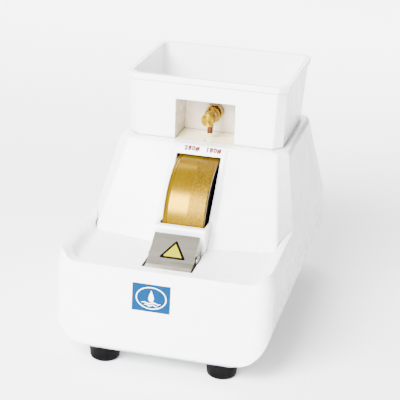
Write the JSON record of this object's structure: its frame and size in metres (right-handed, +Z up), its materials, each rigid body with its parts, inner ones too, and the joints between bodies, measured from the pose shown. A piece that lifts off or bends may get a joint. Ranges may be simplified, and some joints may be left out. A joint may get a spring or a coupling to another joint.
{
  "type": "wet lens edger",
  "caption": "Small bench edger with a two-grit diamond wheel showing through a sloping front, a catch tray with a flip-up cover, and a lift-off water tank with a drip tap.",
  "frame": {"origin": "middle of the footprint, on the surface that the feet stand on", "axes": "+Z up, -Y towards the operator, +X to the operator's right"},
  "size_m": [0.176, 0.285, 0.21],
  "materials": {
    "housing_plastic": "glossy white moulded plastic",
    "tank_plastic": "glossy white moulded plastic",
    "zinc_plate": "zinc-plated sheet steel",
    "foot_rubber": "black rubber",
    "screw_steel": "machined steel",
    "label_blue": "printed plastic film",
    "grey_plastic": "grey moulded plastic",
    "bearing_steel": "ground bearing steel",
    "cast_body": "grey cast iron",
    "belt_rubber": "ribbed black rubber",
    "motor_paint": "dark grey paint",
    "lamination_steel": "stacked laminations",
    "winding_copper": "enamelled copper wire",
    "cast_aluminium": "cast aluminium",
    "black_anodised": "black anodised aluminium",
    "black_plastic": "black moulded plastic",
    "contact_brass": "plain brass",
    "cover_steel": "satin stainless sheet",
    "sponge_foam": "open-cell sponge",
    "bond_brass": "metal-bonded diamond, golden",
    "tap_brass": "turned brass",
    "spout_copper": "copper tube"
  },
  "bodies": {
    "housing": {"housing_shell": "housing_plastic", "base_plate": "zinc_plate", "rubber_feet": "foot_rubber", "foot_screws": "screw_steel", "foot_nuts": "screw_steel", "shell_screws": "screw_steel", "front_label": "label_blue", "splash_box": "black_plastic", "drain_elbow": "grey_plastic", "shaft_seal": "foot_rubber", "spindle_bearing_outer_rings": "bearing_steel", "spindle_bearing_balls": "bearing_steel", "spindle_pedestal": "cast_body", "pedestal_screws": "screw_steel", "drive_belt": "belt_rubber", "motor_frame": "motor_paint", "motor_stator": "lamination_steel", "motor_windings": "winding_copper", "motor_left_end_bell": "cast_aluminium", "motor_right_end_bell": "cast_aluminium", "motor_bearings": "bearing_steel", "motor_cradles": "zinc_plate", "motor_straps": "zinc_plate", "capacitor": "grey_plastic", "capacitor_clip": "zinc_plate", "terminal_block": "black_plastic", "terminal_screws": "contact_brass", "switch_body": "black_plastic", "inlet_body": "black_plastic", "inlet_pins": "contact_brass", "cover_bracket": "cover_steel", "sponge": "sponge_foam"},
    "wheel": {"wheel_core": "black_anodised", "bevel_ring": "bond_brass", "fine_grinding_ring": "bond_brass", "coarse_grinding_ring": "bond_brass", "wheel_inner_flange": "screw_steel", "wheel_outer_flange": "screw_steel", "wheel_nut": "screw_steel", "spindle": "screw_steel", "spindle_bearing_inner_rings": "bearing_steel", "spindle_pulley": "cast_aluminium"},
    "rotor": {"motor_rotor": "lamination_steel", "motor_shaft": "screw_steel", "motor_pulley": "cast_aluminium"},
    "cover": {"splash_cover": "cover_steel", "cover_pins": "screw_steel"},
    "tank": {"water_tank": "tank_plastic", "tap_body": "tap_brass", "tap_washers": "foot_rubber", "tap_locknut": "tap_brass", "tap_spout": "spout_copper"},
    "knob": {"tap_knob": "tap_brass"},
    "rocker": {"switch_rocker": "black_plastic"}
  },
  "joints": [
    {"name": "wheel_spin", "type": "hinge", "parent": "housing", "child": "wheel", "pos_m": [0, -0.026, 0.094], "axis": [1, 0, 0], "continuous": true},
    {"name": "motor_spin", "type": "hinge", "parent": "housing", "child": "rotor", "pos_m": [0, 0.084, 0.066], "axis": [1, 0, 0], "continuous": true},
    {"name": "cover_flip", "type": "hinge", "parent": "housing", "child": "cover", "pos_m": [0, -0.103, 0.085], "axis": [1, 0, 0], "range_deg": [0, 50]},
    {"name": "tank_lift", "type": "slide", "parent": "housing", "child": "tank", "axis": [0, 0, 1], "range_m": [0, 0.08]},
    {"name": "tap_turn", "type": "hinge", "parent": "tank", "child": "knob", "pos_m": [0.0018, 0, 0.1736], "axis": [0, 1, 0], "range_deg": [0, 360]},
    {"name": "rocker_tilt", "type": "hinge", "parent": "housing", "child": "rocker", "pos_m": [-0.0836, -0.09, 0.053], "axis": [0, 0, 1], "range_deg": [0, 12]}
  ],
  "couplings": [
    {"joint": "motor_spin", "follows": "wheel_spin", "ratio": 1.2151}
  ]
}
